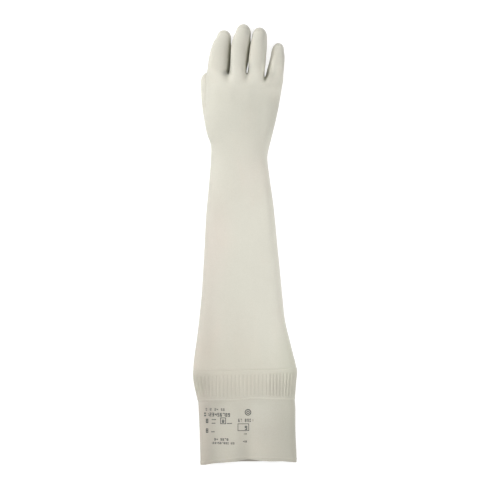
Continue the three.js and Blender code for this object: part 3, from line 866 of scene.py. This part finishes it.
def colour_and_painted_light(P):
    tones = np.array(TONES, float)
    shade = np.stack([np.interp(P[:, 1], tones[:, 0], tones[:, 1 + d]) for d in range(3)], 1)
    # the thumb lies below the back of the hand and takes none of its patches, and the strong ones, painted shade and
    # painted light in the forks and on the fingers' flanks, stay near the top
    thumb = smooth((33 - P[:, 2]) / 4) * smooth((-28 - P[:, 0]) / 6) * smooth((241 - P[:, 1]) / 6) * smooth((P[:, 1] - 165) / 25)
    for x, y, wx, wy, r, g, b in TINTS_AND_PAINTED_LIGHT:
        w = np.exp(-(((P[:, 0] - x) / wx) ** 2) - ((P[:, 1] - y) / wy) ** 2) * (1 - thumb)
        if abs(r) > 0.12:
            w = w * smooth((P[:, 2] - 31) / 8)
        shade *= 1 + w[:, None] * np.array((r, g, b))
    # Painted highlight along the raised line below the ribs, stronger on the top towards the right.
    bead = np.exp(-(((P[:, 1] - soft_along(BEAD_LINE, P[:, 0], 3)) / 0.9) ** 2))
    shade *= 1 + (0.042 + 0.02 * smooth((P[:, 0] - 5) / 20) * (P[:, 2] > 8))[:, None] * bead[:, None]
    # Painted highlight along the bead just above the hem, on the top side only.
    hem = np.exp(-(((P[:, 1] - soft_along(HEM_BACK, P[:, 0], 3) - 4.2) / 0.9) ** 2)) * (P[:, 2] > 8)
    shade *= 1 + 0.035 * hem[:, None]
    # Painted highlight and painted shade at each fingertip: a faint light line across it, and the rounded end beyond it
    # darker.
    for m, fore, tip in TIPS:
        s = (P - m) @ fore
        close = np.linalg.norm(P - m, axis=1) < tip * 1.25
        shade *= 1 + (close * np.exp(-(((s - 2.6) / 0.9) ** 2)))[:, None] * 0.018
        shade *= 1 - (close * smooth((s - 3.4) / 3))[:, None] * np.array((0.024, 0.027, 0.032))
    shade /= 255
    return np.where(shade <= 0.04045, shade / 12.92, ((shade + 0.055) / 1.055) ** 2.4)


# Painted shade down in the forks between the fingers: how closed in each point there is, found by casting rays.
skin_tree = BVHTree.FromPolygons((V * MM).tolist(), F_all)
mesh_normals = np.zeros(len(V) * 3)
mesh.vertices.foreach_get("normal", mesh_normals)
mesh_normals = mesh_normals.reshape(-1, 3)
golden = math.pi * (3 - math.sqrt(5))
RAYS = [(math.sqrt(1 - c * c) * math.cos(golden * n), math.sqrt(1 - c * c) * math.sin(golden * n), c) for n, c in ((n, 1 - (n + 0.5) / 20) for n in range(18))]
closed = np.zeros(len(V))
for n in range(hand_first, hand_first + hand_count):
    if V[n, 1] < 205:
        continue
    normal = mesh_normals[n]
    side = unit(np.cross(normal, (0.3, 1, 0.2)))
    other = np.cross(normal, side)
    start = Vector((V[n] + normal * 0.15) * MM)
    hits = 0.0
    for a, b, c in RAYS:
        hit = skin_tree.ray_cast(start, Vector(side * a + other * b + normal * c), 0.016)
        if hit[0] is not None:
            hits += 1 - hit[3] / 0.016 * 0.6
    closed[n] = hits / len(RAYS) * (1 - 0.55 * float(smooth((normal[2] - 0.45) / 0.4)))
tone = colour_and_painted_light(V)
# Painted shade in the forks darkens the colour and makes it a little warmer.
tone *= 1 - smooth((closed - 0.21) / 0.40)[:, None] * np.array((0.575, 0.565, 0.665))  # and warmer
# The colour stored on the mesh holds painted shade and painted light as well as the latex's own tone.
layer = mesh.color_attributes.new("latex_tone_and_painted_shade", "FLOAT_COLOR", "POINT")
layer.data.foreach_set("color", np.concatenate([tone, np.ones((len(V), 1))], 1).astype(np.float32).reshape(-1))
glove = bpy.data.objects.new("glove_skin", mesh)
bpy.context.scene.collection.objects.link(glove)
print("GLOVE", len(V), "vertices", sum(len(f) - 2 for f in F_all), "triangles", "ribs", RIBS)


# ------------------------------------------------------------------ materials
def rgb(r, g, b):
    """A colour given as it looks on screen, 0 to 255."""
    lin = [(c / 255 / 12.92) if c / 255 <= 0.04045 else ((c / 255 + 0.055) / 1.055) ** 2.4 for c in (r, g, b)]
    return (*lin, 1.0)


def latex_material():
    mat = bpy.data.materials.new("natural_latex")
    mat.use_nodes = True
    nt = mat.node_tree
    n, l = nt.nodes, nt.links
    bsdf = n["Principled BSDF"]
    bsdf.inputs["Roughness"].default_value = 0.58
    bsdf.inputs["Specular IOR Level"].default_value = 0.32
    bsdf.inputs["IOR"].default_value = 1.52
    bsdf.inputs["Sheen Weight"].default_value = 0.12
    bsdf.inputs["Sheen Roughness"].default_value = 0.5
    bsdf.inputs["Subsurface Weight"].default_value = 0.0
    coords = n.new("ShaderNodeTexCoord")

    def mapped(scale):
        m = n.new("ShaderNodeMapping")
        m.inputs["Scale"].default_value = scale
        l.new(coords.outputs["Object"], m.inputs["Vector"])
        return m.outputs["Vector"]

    def noise_node(vector, scale, detail, rough=0.5, distort=0.0):
        t = n.new("ShaderNodeTexNoise")
        t.inputs["Scale"].default_value = scale
        t.inputs["Detail"].default_value = detail
        t.inputs["Roughness"].default_value = rough
        t.inputs["Distortion"].default_value = distort
        l.new(vector, t.inputs["Vector"])
        return t.outputs["Fac"]

    def ramp(fac, stops):
        r = n.new("ShaderNodeValToRGB")
        r.color_ramp.elements[0].position, r.color_ramp.elements[0].color = stops[0]
        r.color_ramp.elements[1].position, r.color_ramp.elements[1].color = stops[-1]
        for pos, col in stops[1:-1]:
            e = r.color_ramp.elements.new(pos)
            e.color = col
        l.new(fac, r.inputs["Fac"])
        return r.outputs["Color"]

    def mix(kind, fac, a, b):
        m = n.new("ShaderNodeMix")
        m.data_type = "RGBA"
        m.blend_type = kind
        if isinstance(fac, float):
            m.inputs["Factor"].default_value = fac
        else:
            l.new(fac, m.inputs["Factor"])
        l.new(a, m.inputs["A"])
        if isinstance(b, tuple):
            m.inputs["B"].default_value = b
        else:
            l.new(b, m.inputs["B"])
        return m.outputs["Result"]

    # The colour from the mesh, with its painted shade and painted light.
    tone = n.new("ShaderNodeAttribute")
    tone.attribute_name = "latex_tone_and_painted_shade"
    body = tone.outputs["Color"]
    # cloudy unevenness of the dipped skin
    cloud = ramp(noise_node(mapped((1, 0.55, 1)), 22, 4, 0.55, 0.4), [(0.30, (0.972, 0.968, 0.962, 1)), (0.72, (1.02, 1.02, 1.02, 1))])
    body = mix("MULTIPLY", 1.0, body, cloud)
    # faint warm and faint green-grey patches
    warm = ramp(noise_node(mapped((1, 0.4, 1)), 34, 3, 0.6, 0.8), [(0.54, (1, 1, 1, 1)), (0.76, (1.018, 0.992, 0.985, 1))])
    body = mix("MULTIPLY", 0.7, body, warm)
    fleck = ramp(noise_node(coords.outputs["Object"], 620, 3, 0.6), [(0.38, (0.965, 0.965, 0.955, 1)), (0.62, (1.012, 1.012, 1.01, 1))])
    body = mix("MULTIPLY", 0.8, body, fleck)
    l.new(body, bsdf.inputs["Base Color"])

    rough = n.new("ShaderNodeMapRange")
    rough.inputs["To Min"].default_value = 0.50
    rough.inputs["To Max"].default_value = 0.68
    l.new(noise_node(coords.outputs["Object"], 90, 4, 0.6), rough.inputs["Value"])
    l.new(rough.outputs["Result"], bsdf.inputs["Roughness"])

    # fine grain of the former, and the softer unevenness of the dip
    grain = noise_node(coords.outputs["Object"], 900, 2, 0.5)
    dip = noise_node(mapped((1, 0.6, 1)), 130, 3, 0.5)
    b1 = n.new("ShaderNodeBump")
    b1.inputs["Strength"].default_value = 0.22
    b1.inputs["Distance"].default_value = 0.0005
    l.new(dip, b1.inputs["Height"])
    b2 = n.new("ShaderNodeBump")
    b2.inputs["Strength"].default_value = 0.18
    b2.inputs["Distance"].default_value = 0.00012
    l.new(grain, b2.inputs["Height"])
    l.new(b1.outputs["Normal"], b2.inputs["Normal"])
    l.new(b2.outputs["Normal"], bsdf.inputs["Normal"])
    return mat


def plain_material(name, color, rough):
    mat = bpy.data.materials.new(name)
    mat.use_nodes = True
    b = mat.node_tree.nodes["Principled BSDF"]
    b.inputs["Base Color"].default_value = color
    b.inputs["Roughness"].default_value = rough
    return mat


glove.data.materials.append(latex_material())
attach(glove, "root")
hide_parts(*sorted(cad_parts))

# ------------------------------------------------------------------ plain ink marks on the cuff end
INK_HIGH, INK_DEEP = 0.10, 0.06
PX = 1.3575  # mm

def on_cuff(x, y):
    hit, normal, _, _ = skin_tree.ray_cast(Vector((x * MM, y * MM, 0.2)), Vector((0, 0, -1)))
    return hit, (normal if normal.z > 0 else -normal)


mark_V, mark_F = [], []


def mark(corners):
    """A thin plate of ink on the skin. corners are four (x, y) in mm, anticlockwise."""
    a, b, c, d = (np.array(q, float) for q in corners)
    nu = max(1, int(np.ceil(np.linalg.norm(b - a) / 1.2)))
    nv = max(1, int(np.ceil(np.linalg.norm(d - a) / 1.2)))
    start = len(mark_V)
    for level in (INK_HIGH, -INK_DEEP):
        for j in range(nv + 1):
            for i in range(nu + 1):
                q = (a * (1 - i / nu) + b * i / nu) * (1 - j / nv) + (d * (1 - i / nu) + c * i / nu) * j / nv
                hit, normal = on_cuff(*q)
                mark_V.append(tuple(hit + normal * level * MM))
    n = (nu + 1) * (nv + 1)

    def at(i, j, low):
        return start + low * n + j * (nu + 1) + i

    for j in range(nv):
        for i in range(nu):
            mark_F.append((at(i, j, 0), at(i + 1, j, 0), at(i + 1, j + 1, 0), at(i, j + 1, 0)))
            mark_F.append((at(i, j, 1), at(i, j + 1, 1), at(i + 1, j + 1, 1), at(i + 1, j, 1)))
    for i in range(nu):
        mark_F.append((at(i, 0, 0), at(i, 0, 1), at(i + 1, 0, 1), at(i + 1, 0, 0)))
        mark_F.append((at(i + 1, nv, 0), at(i + 1, nv, 1), at(i, nv, 1), at(i, nv, 0)))
    for j in range(nv):
        mark_F.append((at(0, j + 1, 0), at(0, j + 1, 1), at(0, j, 1), at(0, j, 0)))
        mark_F.append((at(nu, j, 0), at(nu, j, 1), at(nu, j + 1, 1), at(nu, j + 1, 0)))


def place(px, py):
    return (px - 245.1) * PX, (244.5 - py) * PX


def bar(x0, y0, x1, y1):
    """A straight bar from (x0, y0) to (x1, y1), lower left and upper right, mm."""
    mark([(x0, y0), (x1, y0), (x1, y1), (x0, y1)])


# Each plain figure as the strokes of a seven-stroke digit: across top, middle, bottom; upper and lower on each side.
FIGURES = {0: "TBabcd", 1: "bd", 2: "TMBbc", 3: "TMBbd", 4: "Mabd", 5: "TMBad", 6: "TMBacd", 7: "Tbd", 8: "TMBabcd", 9: "TMBabd"}


def figure(digit, x, y, wide, high, pen):
    h = (high - pen) / 2
    for stroke in FIGURES[digit]:
        if stroke in "TMB":
            low = y + {"T": 2, "M": 1, "B": 0}[stroke] * h
            bar(x, low, x + wide, low + pen)
        else:
            left = x if stroke in "ac" else x + wide - pen
            low = y + pen + (h if stroke in "ab" else 0)
            bar(left, low + 0.02, left + pen, low + h - pen - 0.02)


def figures(digits, px, py, wide, high, step, pen, fall=0.0):
    """A row of plain figures that starts at pixel (px, py), its lower left corner, each step mm after the last."""
    x, y = place(px, py)
    for n, digit in enumerate(digits):
        if digit is not None:
            figure(digit, x + n * step, y - n * step * fall, wide, high, pen)


def outline(px0, py0, px1, py1, pen):
    x0, y1 = place(px0, py0)
    x1, y0 = place(px1, py1)
    bar(x0, y0, x1, y0 + pen)
    bar(x0, y1 - pen, x1, y1)
    bar(x0, y0 + pen + 0.02, x0 + pen, y1 - pen - 0.02)
    bar(x1 - pen, y0 + pen + 0.02, x1, y1 - pen - 0.02)


def ring_mark(px, py, radius, pen, parts=20):
    x, y = place(px, py)
    for n in range(parts):
        a, b = (2 * math.pi * m / parts for m in (n + 0.03, n + 0.97))
        r = radius - pen
        mark([
            (x + r * math.cos(a), y + r * math.sin(a)), (x + radius * math.cos(a), y + radius * math.sin(a)),
            (x + radius * math.cos(b), y + radius * math.sin(b)), (x + r * math.cos(b), y + r * math.sin(b)),
        ])


figures([None, 0, 1, 2, None, 3, 4, None, 5, 6], 203.6, 410.3, 1.9, 3.3, 2.95, 0.56, 0.015)
figures([0, 1, 2, 3, 4, 5, 6, 7, 8, 9], 204.2, 416.0, 2.6, 4.9, 3.6, 0.88, 0.02)
for px, py, wide in ((211.8, 419.8, 6), (211.8, 423.5, 5), (227.0, 423.6, 7), (211.2, 432.0, 5)):
    x, y = place(px, py)
    for n in range(wide):
        bar(x + n * 1.0, y, x + n * 1.0 + 0.76, y + 1.2)
for px, py in ((206.0, 422.8), (206.0, 432.5)):
    figures([8], px, py, 3.1, 5.8, 3, 1.0)
outline(220.4, 417.3, 226.0, 423.8, 0.85)
figures([8], 222.1, 422.6, 3.0, 4.4, 3, 0.95)
ring_mark(248.0, 412.0, 4.4, 1.15)
ring_mark(248.0, 412.0, 2.3, 1.1, 12)
figures([6, 7, None, 8, 9, 0, 1], 238.2, 421.6, 2.0, 4.2, 3.05, 0.66, -0.01)
outline(237.7, 423.2, 249.0, 430.6, 0.75)
figures([9], 244.8, 429.6, 3.2, 5.6, 3, 1.0)
figures([1, 2, 3], 243.4, 434.4, 1.1, 2.1, 1.6, 0.42)
figures([4, 5, 6], 243.2, 442.2, 1.3, 2.6, 1.9, 0.55)
figures([3, 4, None, 5, 6, 7, 8], 214.2, 440.3, 2.1, 3.2, 2.85, 0.66, 0.012)
figures([1, 2, 3, 4, 5, 6, 7, 8, 9, 0, 1, 2, 3], 210.9, 443.8, 1.8, 2.8, 2.5, 0.56, 0.012)

marks_mesh = bpy.data.meshes.new("cuff_marks")
marks_mesh.from_pydata(mark_V, [], mark_F)
marks_mesh.update()
marks = bpy.data.objects.new("cuff_marks", marks_mesh)
scene = bpy.context.scene
scene.collection.objects.link(marks)
marks.data.materials.append(plain_material("faded_ink", rgb(44, 48, 50), 0.7))
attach(marks, "root")

# ------------------------------------------------------------------ floor, light and camera
floor_mesh = bpy.data.meshes.new("floor")
floor_mesh.from_pydata([(-6, -6, 0), (6, -6, 0), (6, 6, 0), (-6, 6, 0)], [], [(0, 1, 2, 3)])
floor = bpy.data.objects.new("floor", floor_mesh)
floor.location.z = -0.0004
bpy.context.scene.collection.objects.link(floor)
floor_white = plain_material("floor_white", (0.5, 0.5, 0.5, 1), 0.9)
floor_white.node_tree.nodes["Principled BSDF"].inputs["Emission Color"].default_value = (1, 1, 1, 1)
floor_white.node_tree.nodes["Principled BSDF"].inputs["Emission Strength"].default_value = 0.62
floor.data.materials.append(floor_white)

scene.view_settings.view_transform = "Standard"
scene.view_settings.look = "None"
scene.view_settings.exposure = 0.0
scene.view_settings.gamma = 1.0

world = bpy.data.worlds.new("studio")
scene.world = world
world.use_nodes = True
world.node_tree.nodes["Background"].inputs["Color"].default_value = (1, 1, 1, 1)
world.node_tree.nodes["Background"].inputs["Strength"].default_value = 0.62


def area_light(name, place, aim, size, power, spread):
    data = bpy.data.lights.new(name, "AREA")
    data.shape = "RECTANGLE"
    data.size, data.size_y = size
    data.energy = power
    data.spread = math.radians(spread)
    obj = bpy.data.objects.new(name, data)
    obj.location = place
    obj.rotation_euler = (Vector(aim) - Vector(place)).to_track_quat("-Z", "Y").to_euler()
    scene.collection.objects.link(obj)
    return obj


area_light("key", (-0.92, 0.60, 0.60), (0, 0.25, 0.02), (0.4, 0.4), 0.62, 36)
area_light("cuff_key", (-0.85, -0.1, 0.5), (0, -0.29, 0.02), (0.4, 0.4), 0.32, 26)
area_light("right", (0.9, -0.1, 0.75), (0.03, -0.05, 0.02), (0.6, 0.6), 0.35, 60)
area_light("top", (0.25, -0.1, 2.2), (0, -0.05, 0), (1.4, 1.4), 21, 180)

camera_data = bpy.data.cameras.new("camera")
camera = bpy.data.objects.new("camera", camera_data)
scene.collection.objects.link(camera)
scene.camera = camera
CAMERA_HEIGHT = 5.0
MM_PER_PIXEL = 1.3575
camera.location = ((245.0 - 245.1) * MM_PER_PIXEL * MM, (244.5 - 245.0) * MM_PER_PIXEL * MM, CAMERA_HEIGHT)
camera.rotation_euler = (0, 0, 0)
camera_data.sensor_width = 36
camera_data.lens = 36 * (CAMERA_HEIGHT - 0.025) / (490 * MM_PER_PIXEL * MM)
camera_data.clip_end = 50
